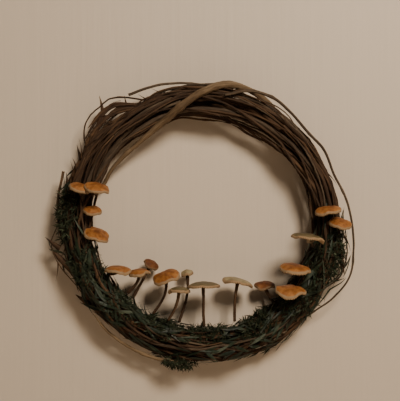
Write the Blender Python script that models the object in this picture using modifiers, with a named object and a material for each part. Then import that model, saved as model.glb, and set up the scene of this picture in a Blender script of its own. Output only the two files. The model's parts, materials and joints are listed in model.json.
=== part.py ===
"""Harvest door wreath: a wound grapevine ring with moss pads and orange mushrooms.

The wreath hangs flat on a door. Metres, +Z up. The door is the plane Y = 0 and the wreath stands out
towards -Y. The origin is on the door, right under the back vines at the top, where a nail bears.

A place on the ring is given by its angle round the ring (0 at +X, turning towards +Z) and by its offset
in the bundle's cross-section: u outwards from the ring's middle circle, w away from the door.
"""

import math

import bmesh
import bpy
import numpy as np
from mathutils import Matrix, Vector

# Ring and bundle
RING_RADIUS = 0.1245  # ring centre to the middle of the vine bundle
BUNDLE_HALF_WIDTH = 0.0175  # the bundle's reach each way from its middle circle
BUNDLE_HALF_DEPTH = 0.0195  # the bundle's reach towards the door and away from it
DOOR_GAP = 0.0010  # the door to the bundle's back
NAIL_REACH = 0.012  # how far the nail that holds the wreath stands out of the door

# Vines
STATIONS = 36  # cross-sections in one turn of the ring
VINE_SIDES_RESOLUTION = 1  # curve bevel resolution: six sides
VINE_THICKNESS = 1.0  # share of each vine's listed radius
VINE_GAP = 0.0008  # least space between neighbouring vines
SETTLE_ROUNDS = 900
LEAST_GAP = 0.0001  # between vines all along, which more rounds make where those above leave less
CLEARING_ROUNDS = 1500
BETWEEN = (0.125, 0.25, 0.375, 0.5, 0.625, 0.75, 0.875)  # shares of the way from one cross-section to the next
SEED = 11

# Mushrooms
CAP_SCALE = 1.0  # share of each cap's listed radius
CAP_OVAL = 0.88  # front to back over side to side
CAP_RIM = 0.0028  # thickness of the cap at its rim
CAP_CROWN = 0.0030  # rise of the crown above the rim's top
CAP_HOLLOW = 0.0010  # rise of the gilled underside from rim to stem
CAP_SEGMENTS = 12
STEM_RADIUS = 0.0012
SOCKET_CLEARANCE = 0.0007  # round the stem's end in the cap, and above it
SOCKET_DEPTH = 0.0020
STEM_POINTS = 6
STEM_SIDES_RESOLUTION = 1
TOUCH_GAP = 0.0005  # space left where one piece rests on another
CAP_ROUNDS = 260
MOST_CAP_ROUNDS = 1200  # more rounds, where a cap still has less than the least gap
CAP_LEAST_GAP = 0.0001
BEADED_RADIUS = 0.0170  # a wider cap is filled with more balls
FORWARD_STEP = np.array([0, -0.00025, 0])  # how a cap that still touches something works its way out

# Moss
MOSS_THICKNESS = 0.0048
MOSS_EDGE = 0.0012  # thickness at a pad's edge
MOSS_GAP = 0.0015  # pad to vines
MOSS_STEP = 5.0  # degrees round the ring between a pad's rows
MOSS_TURN_STEP = 20.0  # degrees round the bundle between a pad's columns

BUNDLE_WIDE = BUNDLE_HALF_WIDTH * VINE_THICKNESS  # thicker vines make a thicker bundle
BUNDLE_DEEP = BUNDLE_HALF_DEPTH * VINE_THICKNESS
BUNDLE_OUT = DOOR_GAP + BUNDLE_DEEP  # the door to the bundle's middle

# Where the bundle's inner and outer edges lie, in millimetres from its middle circle, at each angle. Its
# weight draws it inwards over the nail, and most at the upper right, where it is wound tightest.
BUNDLE_EDGES = [
    (-30, -17.5, 17.5),
    (-5, -17.0, 16.0),
    (12, -17.0, 13.0),
    (24, -19.0, 11.0),
    (38, -22.0, 10.5),
    (60, -22.5, 10.5),
    (90, -22.0, 11.5),
    (110, -22.0, 13.5),
    (130, -22.0, 16.0),
    (146, -20.5, 17.0),
    (162, -18.5, 17.5),
    (180, -17.5, 17.5),
    (330, -17.5, 17.5),
]

# Vines wound into the bundle: name, start angle, turns, radius at each end, how far out in the bundle
# they lie (0 middle, 1 skin), where round the bundle they start, turns round the bundle for each turn
# of the ring, and the (u, w) in millimetres at which the cut end stands out, if it shows.
WOUND_VINES = [
    ("core_vine_1", 187, 2.6, 0.0030, 0.0022, 0.35, 10, 0.30, (28, 2)),
    ("core_vine_2", 206, 2.4, 0.0028, 0.0020, 0.60, 130, -0.35, (21, -3)),
    ("core_vine_3", 132, 2.3, 0.0026, 0.0019, 0.75, 60, 0.45, (24, 4)),
    ("core_vine_4", 150, 2.3, 0.0029, 0.0021, 0.85, 190, 0.40, None),
    ("core_vine_5", -23, 2.2, 0.0027, 0.0019, 0.85, 300, -0.30, (26, 3)),
    ("core_vine_6", 40, 2.1, 0.0025, 0.0019, 0.70, 250, 0.55, None),
    ("wrap_vine_1", 285, 1.6, 0.0023, 0.0017, 1.00, 95, 1.60, None),
    ("wrap_vine_2", 100, 1.5, 0.0021, 0.0016, 1.00, 80, 0.90, None),
]

# Vines whose way shows on its own: name, radius at each end, and the points they pass through, each an
# angle round the ring and u, w in millimetres.
FREE_VINES = {"long_tendril"}  # stands off the bundle, whichever way the bundle is thicker
LAID_VINES = [
    (
        "binding_vine",
        0.0032,
        0.0026,
        [(50, 2, -16.5), (56, 8, -14), (62, 12.5, -9), (67, 14.5, -2), (72, 15, 4), (78, 14, 11),
         (85, 8, 17.5), (92, 0.5, 21), (99, -8, 22), (106, -15, 19), (114, -20.5, 13.5), (124, -23.5, 8),
         (136, -23.5, 3), (150, -20.5, -1), (160, -18.5, -5)],
    ),
    (
        "long_tendril",
        0.0008,
        0.0016,
        [(-50, 15.5, -12), (-43, 17, -5), (-37, 19, 1), (-31, 25, 4), (-24, 30, 6), (-17, 31, 7),
         (-10, 28, 6), (-3, 25, 5), (3, 23, 4), (9, 20.5, 3), (15, 17, 3), (22, 14.5, 4),
         (27, 16, 5), (33, 15, 6), (38, 13, 8), (44, 13, 9), (50, 14.5, 9), (57, 16, 10),
         (64, 16, 12), (71, 12, 16), (78, 4, 20), (84, -3, 21.5)],
    ),
    (
        "loose_vine_left",
        0.0010,
        0.0014,
        [(73, 3, -8), (81, 8, -6), (89, 12, -3), (99, 15.5, 0), (105, 17.5, 2), (111, 19, 4),
         (117, 20.5, 5), (124, 22, 6)],
    ),
    (
        "left_edge_vine",
        0.0014,
        0.0010,
        [(152, 19, -6), (158, 22, 0), (164, 22, 3), (171, 20, 4), (178, 18.5, 3), (185, 18, -3),
         (191, 16.5, -10)],
    ),
    (
        "lower_outer_vine",
        0.0014,
        0.0018,
        [(212, 12, 14), (218, 15, 11), (225, 17.5, 8), (235, 19, 5), (245, 18.5, 5), (255, 17.5, 8),
         (266, 14, 14)],
    ),
]

# Moss pads: name, angles round the ring, and the stretch round the bundle that they cover, in degrees,
# where 0 is the ring's outside, 90 its front and 180 its inside.
MOSS_PADS = [
    ("moss_left_upper", 167, 188, 10, 100),
    ("moss_left", 191, 212, 50, 150),
    ("moss_lower_left", 215, 236, 75, 190),
    ("moss_bottom_left", 239, 258, 95, 200),
    ("moss_bottom", 261, 284, 105, 205),
    ("moss_bottom_right", 288, 308, 84, 192),
    ("moss_bottom_outer", 254, 268, -15, 60),
    ("moss_lower_right", 310, 330, 35, 165),
    ("moss_right", 333, 356, 20, 140),
]

# Mushrooms: name, the cap's place (angle round the ring, u in millimetres, millimetres out from the
# door), cap radius in millimetres, roll and pitch of the cap in degrees (roll lifts its right side, pitch
# turns its top to the viewer), where its stem is rooted (angle round the ring, and round the bundle), and
# the cap's colour.
ORANGE, RUST, TAN, CREAM = (0.52, 0.20, 0.05), (0.30, 0.11, 0.03), (0.40, 0.24, 0.11), (0.50, 0.42, 0.28)
BARK, PALE_BARK = (0.060, 0.035, 0.020), (0.150, 0.095, 0.050)
MOSS_GREEN, STEM_BROWN = (0.020, 0.030, 0.016), (0.045, 0.022, 0.010)
MUSHROOMS = [
    ("left_1", 163.0, -3.2, 43, 12.0, -17, 16, 168, 110, ORANGE),
    ("left_2", 159.9, -16.2, 52, 13.0, -14, 22, 166, 140, ORANGE),
    ("left_3", 172.3, -16.6, 42, 9.5, -5, 26, 176, 150, ORANGE),
    ("left_4", 185.1, -21.6, 40, 13.5, -22, 26, 190, 155, ORANGE),
    ("low_left_1", 206.7, -26.4, 34, 13.5, -3, 8, 207, 170, ORANGE),
    ("low_left_2", 217.5, -47.0, 30, 11.0, 3, 8, 223, 175, ORANGE),
    ("low_left_3", 218.1, -59.8, 14, 8.5, -30, 20, 229, 185, RUST),
    ("low_left_4", 235.1, -62.9, 34, 14.0, 14, 24, 241, 175, ORANGE),
    ("bottom_1", 253.1, -73.2, 13, 6.5, 10, 4, 256, 190, CREAM),
    ("bottom_2", 250.6, -58.2, 36, 11.0, 3, 0, 249, 170, TAN),
    ("bottom_3", 270.7, -63.1, 34, 16.5, 1, 0, 271, 170, TAN),
    ("bottom_4", 302.2, -57.9, 28, 16.0, -14, 0, 287, 172, CREAM),
    ("low_right_1", 315.8, -37.4, 16, 11.0, 4, 10, 312, 185, RUST),
    ("low_right_2", 323.6, -18.4, 50, 15.5, -3, 18, 320, 130, ORANGE),
    ("right_1", 335.1, -25.0, 48, 15.5, -6, 14, 332, 140, ORANGE),
    ("right_2", 354.0, -18.8, 48, 17.0, -10, 2, 352, 145, TAN),
    ("right_3", 6.7, -2.3, 50, 13.5, 8, 12, 3, 110, ORANGE),
    ("right_4", 0.9, 9.8, 46, 11.5, -8, 26, 356, 80, ORANGE),
]


# ---------------------------------------------------------------- the ring's own coordinates


def ring_point(angle, u, w, centre_z):
    """The point at this angle (degrees) and cross-section offset (metres)."""
    a = np.radians(angle)
    reach = RING_RADIUS + u
    return np.stack([reach * np.cos(a), -(BUNDLE_OUT + w), centre_z + reach * np.sin(a)], axis=-1)


def through(points, angles):
    """A smooth line through points (angle, value, value ...), read at these angles: Catmull-Rom."""
    table = np.array(points, float)
    at, values = table[:, 0], table[:, 1:]
    slopes = np.gradient(values, at, axis=0)
    i = np.clip(np.searchsorted(at, angles) - 1, 0, len(at) - 2)
    span = (at[i + 1] - at[i])[:, None]
    t = np.clip((angles - at[i])[:, None] / span, 0, 1)
    return (
        (2 * t**3 - 3 * t**2 + 1) * values[i]
        + (t**3 - 2 * t**2 + t) * span * slopes[i]
        + (3 * t**2 - 2 * t**3) * values[i + 1]
        + (t**3 - t**2) * span * slopes[i + 1]
    )


def section(angles):
    """The bundle's (middle, half size) in its cross-section, each as (u, w), at these angles."""
    edges = through(BUNDLE_EDGES, (angles + 30) % 360 - 30) * BUNDLE_WIDE / 17.5
    inner, outer = edges.T
    middle = np.stack([(inner + outer) / 2, 0 * inner], axis=-1)
    half = np.stack([(outer - inner) / 2, BUNDLE_DEEP + 0 * inner], axis=-1)
    return middle, half


# ---------------------------------------------------------------- vines


def wound_vine(spec, rng):
    """A vine wound into the bundle, before it is pushed clear of its neighbours."""
    name, start, turns, r_start, r_end, lie, phase, spiral, cut_end = spec
    first = round(start * STATIONS / 360)
    count = round(turns * STATIONS) + 1
    along = np.arange(count) / STATIONS
    sway = sum(
        rng.uniform(0.1, 0.3) * np.sin(2 * math.pi * (f * along + rng.uniform()))
        for f in (0.7, 1.3, 2.1)
    )
    turn = np.radians(phase) + 2 * math.pi * spiral * along + sway
    out = np.clip(lie + 0.2 * np.sin(2 * math.pi * (0.9 * along + rng.uniform())), 0.05, 1)
    middle, half = section((first + np.arange(count)) * 360 / STATIONS)
    radius = VINE_THICKNESS * np.linspace(r_start, r_end, count)
    spread = np.stack([np.cos(turn), np.sin(turn)], axis=1)
    place = middle + (half - radius[:, None]) * out[:, None] * spread
    held = np.zeros(count, bool)
    if cut_end:
        place[0] = np.array(cut_end) / 1000
        place[1] = 0.45 * place[0] + 0.55 * place[2]
        held[0] = True
    return {"name": name, "first": first, "place": place, "radius": radius, "held": held, "loose": held}


def laid_vine(spec):
    """A vine that keeps its own way, with the others pushed clear of it."""
    name, r_start, r_end, points = spec
    step = 360 / STATIONS
    first = math.ceil(points[0][0] / step)
    last = math.floor(points[-1][0] / step)
    angles = np.arange(first, last + 1) * step
    place = through(points, angles) / 1000
    wide, deep = BUNDLE_WIDE / 0.0175, BUNDLE_DEEP / 0.0195
    place *= [max(wide, deep)] * 2 if name in FREE_VINES else [wide, deep]
    radius = VINE_THICKNESS * np.linspace(r_start, r_end, len(angles))
    held = np.ones(len(angles), bool)
    return {"name": name, "first": first, "place": place, "radius": radius, "held": held, "loose": held}


def station_pairs(station, follows):
    """Index pairs of vine points in the same cross-section, and of those whose next points are too."""
    pairs = [
        (i, j)
        for s in range(STATIONS)
        for members in [np.flatnonzero(station == s)]
        for n, i in enumerate(members)
        for j in members[n + 1 :]
    ]
    i, j = np.array(pairs).T
    both = follows[i] & follows[j]
    return i, j, i[both], j[both]


def push(place, reach, i, j, share, move, gap_wanted):
    """Adds to move what takes places i and j this far apart; returns the most that a pair lacks."""
    gap = place[j] - place[i]
    distance = np.maximum(np.linalg.norm(gap, axis=1), 1e-6)
    over = np.clip(reach[i] + reach[j] + gap_wanted - distance, 0, None)
    step = gap / distance[:, None] * over[:, None]
    total = np.maximum(share[i] + share[j], 1e-9)
    np.add.at(move, i, -step * (share[i] / total)[:, None])
    np.add.at(move, j, step * (share[j] / total)[:, None])
    return over[share[i] + share[j] > 0].max()


def settle_vines(vines):
    """Pushes the vines apart in every cross-section while they stay smooth and inside the bundle."""
    place = np.concatenate([v["place"] for v in vines])
    radius = np.concatenate([v["radius"] for v in vines])
    held = np.concatenate([v["held"] for v in vines])
    inside = ~np.concatenate([v["loose"] for v in vines])
    station = np.concatenate([(v["first"] + np.arange(len(v["place"]))) % STATIONS for v in vines])
    follows = np.concatenate([np.arange(len(v["place"])) < len(v["place"]) - 1 for v in vines])
    inner = follows & np.roll(follows, 1) & ~held
    inner[0] = False
    last = np.flatnonzero(~follows)
    i, j, mid_i, mid_j = station_pairs(station, follows)
    share = np.where(held, 0.0, 1.0)
    chord = 2 * math.pi * RING_RADIUS / STATIONS
    wound = place.copy()
    middle, half = section(station * 360 / STATIONS)
    limits = half - radius[:, None]
    for n in range(SETTLE_ROUNDS):
        ease = max(0.0, 1 - n / (0.7 * SETTLE_ROUNDS))
        ahead = np.roll(place, -1, axis=0)
        ahead[last] = place[last]
        slope = np.linalg.norm(ahead - place, axis=1) / chord
        slope = np.maximum(slope, np.where(follows, 0, np.roll(slope, 1)))
        slope = np.maximum(slope, np.roll(slope, 1) * np.roll(follows, 1))
        reach = radius * np.sqrt(1 + slope**2)
        move = np.zeros_like(place)
        push(place, reach, i, j, share, move, VINE_GAP)
        move_mid = np.zeros_like(place)
        push((place + ahead) / 2, reach, mid_i, mid_j, share, move_mid, VINE_GAP)
        move += move_mid
        move[1:] += move_mid[:-1] * follows[:-1, None]
        place = place + 0.45 * np.where(held[:, None], 0, move)
        shift = place - wound
        smooth = (np.roll(shift, 1, axis=0) + np.roll(shift, -1, axis=0)) / 2 - shift
        place[inner] += (0.01 + 0.5 * ease) * smooth[inner]
        past = np.linalg.norm((place - middle) / limits, axis=1)
        over = inside & (past > 1)
        place[over] = (middle + (place - middle) / past[:, None])[over]
    for _ in range(CLEARING_ROUNDS):
        ahead = np.roll(place, -1, axis=0)
        ahead[last] = place[last]
        move, lacking = np.zeros_like(place), 0.0
        for t in BETWEEN:
            part = np.zeros_like(place)
            between = (1 - t) * place + t * ahead
            lacking = max(lacking, push(between, reach, mid_i, mid_j, share, part, LEAST_GAP))
            move += (1 - t) * part
            move[1:] += t * part[:-1] * follows[:-1, None]
        if lacking == 0:
            break
        place = place + 0.45 * np.where(held[:, None], 0, move)
    start = 0
    for v in vines:
        v["place"] = place[start : start + len(v["place"])]
        start += len(v["place"])
    return vines


def hang_height(vines):
    """The ring centre's height, such that the back vines at the top rest on the nail at the origin."""
    low = []
    for v in vines:
        turned = (v["first"] + np.arange(len(v["place"]))) % STATIONS
        near = np.abs(turned * 360 / STATIONS - 90) < 1.5 * 360 / STATIONS
        back = v["place"][:, 1] - v["radius"] < NAIL_REACH - BUNDLE_OUT
        low += list((RING_RADIUS + v["place"][:, 0] - v["radius"])[near & back])
    return -min(low)


def vine_line(vine, centre_z):
    """The vine's centre line as points of the ring."""
    angles = (vine["first"] + np.arange(len(vine["place"]))) * 360 / STATIONS
    return ring_point(angles, vine["place"][:, 0], vine["place"][:, 1], centre_z)


# ---------------------------------------------------------------- moss pads


def bundle_skin(vines, angle, turn):
    """How far out from the bundle's middle the vines reach, near this place on the bundle."""
    reach = 0.0
    for v in vines:
        angles = (v["first"] + np.arange(len(v["place"]))) * 360 / STATIONS
        off_ring = (angles - angle + 180) % 360 - 180
        distance = np.linalg.norm(v["place"], axis=1)
        off_turn = (np.degrees(np.arctan2(v["place"][:, 1], v["place"][:, 0])) - turn + 180) % 360 - 180
        wide = np.degrees(np.arctan2(v["radius"], distance)) + 0.8 * MOSS_TURN_STEP
        near = (np.abs(off_ring) <= 360 / STATIONS + 0.01) & (np.abs(off_turn) < wide)
        near &= distance < max(BUNDLE_WIDE, BUNDLE_DEEP) + 0.004
        if near.any():
            reach = max(reach, (distance + v["radius"])[near].max())
    return max(reach, 0.8 * min(BUNDLE_WIDE, BUNDLE_DEEP))


def moss_grids(spec, vines, rng):
    """(inner, outer) grids of a pad's points, each as (angle, u, w), with the pad's thickness between."""
    _, start, end, turn_start, turn_end = spec
    rows = round((end - start) / MOSS_STEP) + 1
    columns = round((turn_end - turn_start) / MOSS_TURN_STEP) + 1
    inner, outer = np.zeros((2, rows, columns, 3))
    middle, half = (turn_start + turn_end) / 2, (turn_end - turn_start) / 2
    thicker = max(1, BUNDLE_WIDE / 0.0175, BUNDLE_DEEP / 0.0195)  # flat facets cut deeper into a larger bundle
    for a, angle in enumerate(np.linspace(start, end, rows)):
        spread = half * (1 - 0.45 * abs(2 * a / (rows - 1) - 1) ** 2.5)
        leaning = middle + rng.uniform(-8, 8)
        for b, turn in enumerate(np.linspace(leaning - spread, leaning + spread, columns)):
            skin = bundle_skin(vines, angle, turn) + MOSS_GAP * thicker
            edge = min(a, rows - 1 - a, b, columns - 1 - b)
            thick = MOSS_EDGE if edge == 0 else MOSS_THICKNESS * rng.uniform(0.7, 1.0)
            u, w = math.cos(math.radians(turn)), math.sin(math.radians(turn))
            inner[a, b] = angle, skin * u, skin * w
            outer[a, b] = angle, (skin + thick) * u, (skin + thick) * w
    return inner, outer


def grid_points(grid, centre_z):
    return ring_point(grid[..., 0], grid[..., 1], grid[..., 2], centre_z)


# ---------------------------------------------------------------- mushrooms


def cap_matrix(roll, pitch):
    """Turns a round upright cap into an oval tilted one: roll lifts its right, pitch tips it forward."""
    tilt = Matrix.Rotation(math.radians(-roll), 3, "Y") @ Matrix.Rotation(math.radians(pitch), 3, "X")
    return np.array(tilt @ Matrix.Diagonal((1, CAP_OVAL, 1)))


def cap_beads(radius):
    """Balls that fill a cap, as (place, radius), for finding what it touches."""
    half = CAP_RIM / 2
    rim_ring = radius - half
    beads = [((0, 0, half + 0.3 * CAP_CROWN), half + 0.7 * CAP_CROWN)]
    beads += [((0, 0, -down), STEM_RADIUS) for down in (0.0, 0.002, 0.004)]
    for share, count, lift in ((1.0, 18, 0.0), (0.72, 12, 0.3), (0.38, 7, 0.6)):
        count = max(count, math.ceil(count * radius / BEADED_RADIUS))
        for n in range(count):
            a = 2 * math.pi * n / count
            r, thick = share * rim_ring, half + lift * CAP_CROWN / 2
            beads.append(((r * math.cos(a), r * math.sin(a), thick), thick))
    return np.array([b[0] for b in beads]), np.array([b[1] for b in beads])


def stem_curve(mushroom, centre_z, count):
    """Points from the cap's underside to the bundle's middle at the stem's root."""
    turn = mushroom["turn"]
    socket = mushroom["at"] + turn @ np.array([0, 0, CAP_HOLLOW + SOCKET_DEPTH - SOCKET_CLEARANCE])
    root = ring_point(mushroom["root"], 0.0, 0.0, centre_z)
    skin = ring_point(
        mushroom["root"],
        BUNDLE_WIDE * math.cos(math.radians(mushroom["root_turn"])),
        BUNDLE_DEEP * math.sin(math.radians(mushroom["root_turn"])),
        centre_z,
    )
    down = turn @ np.array([0, 0, -1.0])
    bend = socket + down * 0.55 * np.linalg.norm(skin - socket)
    t = np.linspace(0, 1, count)[:, None]
    return (1 - t) ** 3 * socket + 3 * t * (1 - t) ** 2 * bend + 3 * t**2 * (1 - t) * skin + t**3 * root


def solid_beads(lines, pads):
    """Balls along the vines and over the moss, which caps and stems keep clear of."""
    places, radii = [], []
    for line, radius in lines:
        for t in np.arange(0, 1, 1 / 12):
            places.append((1 - t) * line[:-1] + t * line[1:])
            radii.append((1 - t) * radius[:-1] + t * radius[1:])
    for inner, outer in pads:
        fine = [inner, (inner + outer) / 2]
        for grid in fine:
            middle = (grid[:-1, :-1] + grid[1:, 1:] + grid[:-1, 1:] + grid[1:, :-1]) / 4
            for part in (grid, middle, (grid[:-1] + grid[1:]) / 2, (grid[:, :-1] + grid[:, 1:]) / 2):
                places.append(part.reshape(-1, 3))
                radii.append(np.full(len(places[-1]), MOSS_THICKNESS / 2 + 0.0004))
    return np.concatenate(places), np.concatenate(radii)


def closest(points, radii, places, reaches, needed):
    """The summed pushes that take these balls out of those, and how many pushed."""
    if not len(places):
        return np.zeros(3), 0
    gap = points[:, None, :] - places[None, :, :]
    distance = np.maximum(np.sqrt((gap**2).sum(axis=2)), 1e-6)
    over = np.clip(radii[:, None] + reaches[None, :] + needed - distance, 0, None)
    worst = over.argmax(axis=1)
    rows = np.arange(len(points))
    deep = over[rows, worst]
    step = gap[rows, worst] / distance[rows, worst][:, None] * deep[:, None]
    return step.sum(axis=0), int((deep > 0).sum())


def settle_mushrooms(mushrooms, solid, centre_z):
    """Moves each cap clear of vines, moss, the door and the other mushrooms."""
    for m in mushrooms:
        m["beads"], m["bead_radii"] = cap_beads(m["radius"])
        near = np.linalg.norm(solid[0] - m["at"], axis=1) < 2 * m["radius"] + 0.015
        m["near"] = solid[0][near], solid[1][near]
    for n_round in range(MOST_CAP_ROUNDS):
        space = 2 * TOUCH_GAP if n_round < CAP_ROUNDS else CAP_LEAST_GAP
        touching = 0
        caps = [m["at"] + m["beads"] @ m["turn"].T for m in mushrooms]
        stems = [stem_curve(m, centre_z, 14)[1:11] for m in mushrooms]
        for n, m in enumerate(mushrooms):
            step, count = closest(caps[n], m["bead_radii"], *m["near"], space)
            for k, other in enumerate(mushrooms):
                if k == n or np.linalg.norm(other["at"] - m["at"]) > 0.07:
                    continue
                for ours, ours_r, theirs, theirs_r in (
                    (caps[n], m["bead_radii"], caps[k], other["bead_radii"]),
                    (caps[n], m["bead_radii"], stems[k], np.full(len(stems[k]), STEM_RADIUS)),
                    (stems[n], np.full(len(stems[n]), STEM_RADIUS), caps[k], other["bead_radii"]),
                ):
                    more, hits = closest(ours, ours_r, theirs, theirs_r, space)
                    step, count = step + more, count + hits
            if count:
                m["at"] = m["at"] + 0.6 * step / count + FORWARD_STEP
            back = (caps[n][:, 1] + m["bead_radii"]).max() + DOOR_GAP
            m["at"] = m["at"] - [0, max(0.0, back), 0]
            touching += count
        if n_round >= CAP_ROUNDS and not touching:
            break
    return mushrooms


def stem_points(mushroom, solid, centre_z):
    """The stem's line, cut where it comes to rest on the vines or the moss."""
    places, reaches = solid
    line = stem_curve(mushroom, centre_z, 240)
    gap = np.linalg.norm(line[:, None, :] - places[None, :, :], axis=2) - reaches[None, :]
    touches = gap.min(axis=1) < STEM_RADIUS + TOUCH_GAP
    touches[: len(line) // 12] = False
    end = int(np.argmax(touches)) if touches.any() else len(line) - 1
    neck = SOCKET_DEPTH + CAP_HOLLOW
    under = int(np.argmax(np.linalg.norm(line - line[0], axis=1) > neck))
    below = np.linspace(under, max(end - 1, under + 4), STEM_POINTS - 1).round().astype(int)
    points = line[[0, *below]]
    points[1] = line[0] - neck * mushroom["turn"][:, 2]
    return points


# ---------------------------------------------------------------- Blender objects


def material(name, colour, roughness):
    made = bpy.data.materials.new(name)
    made.use_nodes = True
    shader = made.node_tree.nodes["Principled BSDF"]
    shader.inputs["Base Color"].default_value = (*colour, 1)
    shader.inputs["Roughness"].default_value = roughness
    shader.inputs["Metallic"].default_value = 0.0
    return made


def tube(name, line, radii, resolution, collection, finish):
    """A round tube along a line of points, with its ends closed."""
    curve = bpy.data.curves.new(name, "CURVE")
    curve.dimensions = "3D"
    curve.bevel_depth = 1.0
    curve.bevel_resolution = resolution
    curve.use_fill_caps = True
    spline = curve.splines.new("POLY")
    spline.points.add(len(line) - 1)
    for point, place, radius in zip(spline.points, line, radii):
        point.co = (*place, 1)
        point.radius = radius
    curve.materials.append(finish)
    made = bpy.data.objects.new(name, curve)
    collection.objects.link(made)
    return made


def moss_object(name, inner, outer, collection, finish):
    """A pad lofted between its inner and outer grids."""
    rows, columns = inner.shape[:2]
    bm = bmesh.new()
    sheets = []
    for grid in (inner, outer):
        sheets.append([[bm.verts.new(grid[a, b]) for b in range(columns)] for a in range(rows)])
    for sheet in sheets:
        for a in range(rows - 1):
            for b in range(columns - 1):
                bm.faces.new((sheet[a][b], sheet[a + 1][b], sheet[a + 1][b + 1], sheet[a][b + 1]))
    edges = [e for e in bm.edges if e.is_boundary]
    bmesh.ops.bridge_loops(bm, edges=edges)
    bmesh.ops.recalc_face_normals(bm, faces=bm.faces)
    bmesh.ops.triangulate(bm, faces=bm.faces)
    mesh = bpy.data.meshes.new(name)
    bm.to_mesh(mesh)
    bm.free()
    mesh.materials.append(finish)
    made = bpy.data.objects.new(name, mesh)
    collection.objects.link(made)
    return made


def cap_profile(radius):
    """The cap's half outline, from the crown down the outside and in to the stem's socket."""
    socket = STEM_RADIUS + SOCKET_CLEARANCE
    top = CAP_RIM
    return [
        (0.0, top + CAP_CROWN),
        (0.50 * radius, top + 0.78 * CAP_CROWN),
        (0.84 * radius, top + 0.25 * CAP_CROWN),
        (radius, 0.55 * CAP_RIM),
        (0.93 * radius, 0.0),
        (socket, CAP_HOLLOW),
        (socket, CAP_HOLLOW + SOCKET_DEPTH),
        (0.0, CAP_HOLLOW + SOCKET_DEPTH),
    ]


def cap_object(name, mushroom, collection, finish):
    mesh = bpy.data.meshes.new(name)
    outline = cap_profile(mushroom["radius"])
    mesh.from_pydata([(x, 0, z) for x, z in outline], [(n, n + 1) for n in range(len(outline) - 1)], [])
    mesh.materials.append(finish)
    made = bpy.data.objects.new(name, mesh)
    collection.objects.link(made)
    turned = made.modifiers.new("turned", "SCREW")
    turned.axis = "Z"
    turned.steps = CAP_SEGMENTS
    turned.render_steps = CAP_SEGMENTS
    turned.use_merge_vertices = True
    turned.merge_threshold = 0.00005
    made.matrix_world = Matrix.Translation(Vector(mushroom["at"])) @ Matrix(mushroom["turn"]).to_4x4()
    return made


def main():
    for old in list(bpy.data.objects):
        bpy.data.objects.remove(old)
    wreath = bpy.data.collections.new("harvest_wreath")
    bpy.context.scene.collection.children.link(wreath)
    rng = np.random.default_rng(SEED)

    vines = [wound_vine(spec, rng) for spec in WOUND_VINES] + [laid_vine(spec) for spec in LAID_VINES]
    settle_vines(vines)
    centre_z = hang_height(vines)
    print("ring centre z", round(centre_z, 5))
    lines = [(vine_line(v, centre_z), v["radius"]) for v in vines]
    for v, (line, radius) in zip(vines, lines):
        finish = material(v["name"], PALE_BARK if v["name"] == "binding_vine" else BARK, 0.75)
        tube(v["name"], line, radius, VINE_SIDES_RESOLUTION, wreath, finish)

    pads = []
    for spec in MOSS_PADS:
        inner, outer = (grid_points(grid, centre_z) for grid in moss_grids(spec, vines, rng))
        pads.append((inner, outer))
        moss_object(spec[0], inner, outer, wreath, material(spec[0], MOSS_GREEN, 0.95))

    solid = solid_beads(lines, pads)
    mushrooms = []
    for name, angle, u, out, radius, roll, pitch, root, root_turn, colour in MUSHROOMS:
        at = ring_point(angle, u / 1000, out / 1000 - BUNDLE_OUT, centre_z)
        mushrooms.append(
            {
                "name": name,
                "at": at - [0, 0, CAP_RIM],
                "radius": CAP_SCALE * radius / 1000,
                "turn": cap_matrix(roll, pitch),
                "root": root,
                "root_turn": root_turn,
                "colour": colour,
            }
        )
    settle_mushrooms(mushrooms, solid, centre_z)
    for m in mushrooms:
        cap, stem = f"cap_{m['name']}", f"stem_{m['name']}"
        cap_object(cap, m, wreath, material(cap, m["colour"], 0.6))
        line = stem_points(m, solid, centre_z)
        bark = material(stem, STEM_BROWN, 0.8)
        tube(stem, line, [STEM_RADIUS] * len(line), STEM_SIDES_RESOLUTION, wreath, bark)


main()
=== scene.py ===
"""The looks of a harvest door wreath: barked grapevines wound into a ring, moss and leaf blades round its
lower half, and small orange mushrooms on thin stems.

Metres, +Z up. The door is the plane Y = 0, and the wreath stands out from it towards -Y.
"""

import heapq
import json
import math

import bmesh
import bpy
import numpy as np
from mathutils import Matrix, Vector

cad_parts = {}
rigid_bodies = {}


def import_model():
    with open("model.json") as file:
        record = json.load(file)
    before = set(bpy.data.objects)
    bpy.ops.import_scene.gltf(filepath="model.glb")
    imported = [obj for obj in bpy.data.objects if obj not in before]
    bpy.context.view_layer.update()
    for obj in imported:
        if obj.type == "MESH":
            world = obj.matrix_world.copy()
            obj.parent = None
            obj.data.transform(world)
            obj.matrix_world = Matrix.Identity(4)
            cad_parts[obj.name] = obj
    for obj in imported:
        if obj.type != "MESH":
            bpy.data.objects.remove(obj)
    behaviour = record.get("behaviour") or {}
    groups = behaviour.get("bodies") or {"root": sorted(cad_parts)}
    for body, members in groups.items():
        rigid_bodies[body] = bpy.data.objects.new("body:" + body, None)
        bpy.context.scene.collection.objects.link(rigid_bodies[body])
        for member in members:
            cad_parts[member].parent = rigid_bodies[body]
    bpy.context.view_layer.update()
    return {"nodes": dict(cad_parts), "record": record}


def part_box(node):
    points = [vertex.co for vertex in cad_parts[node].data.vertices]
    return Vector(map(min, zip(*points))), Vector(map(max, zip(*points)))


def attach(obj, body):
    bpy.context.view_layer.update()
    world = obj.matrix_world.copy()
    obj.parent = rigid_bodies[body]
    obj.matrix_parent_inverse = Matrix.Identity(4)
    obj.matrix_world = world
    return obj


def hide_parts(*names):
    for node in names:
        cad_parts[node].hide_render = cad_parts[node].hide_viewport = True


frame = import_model()
for left_over in [o for o in bpy.data.objects if o.name in ("Cube", "Light", "Camera")]:
    bpy.data.objects.remove(left_over)
bpy.ops.object.select_all(action="DESELECT")


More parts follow.
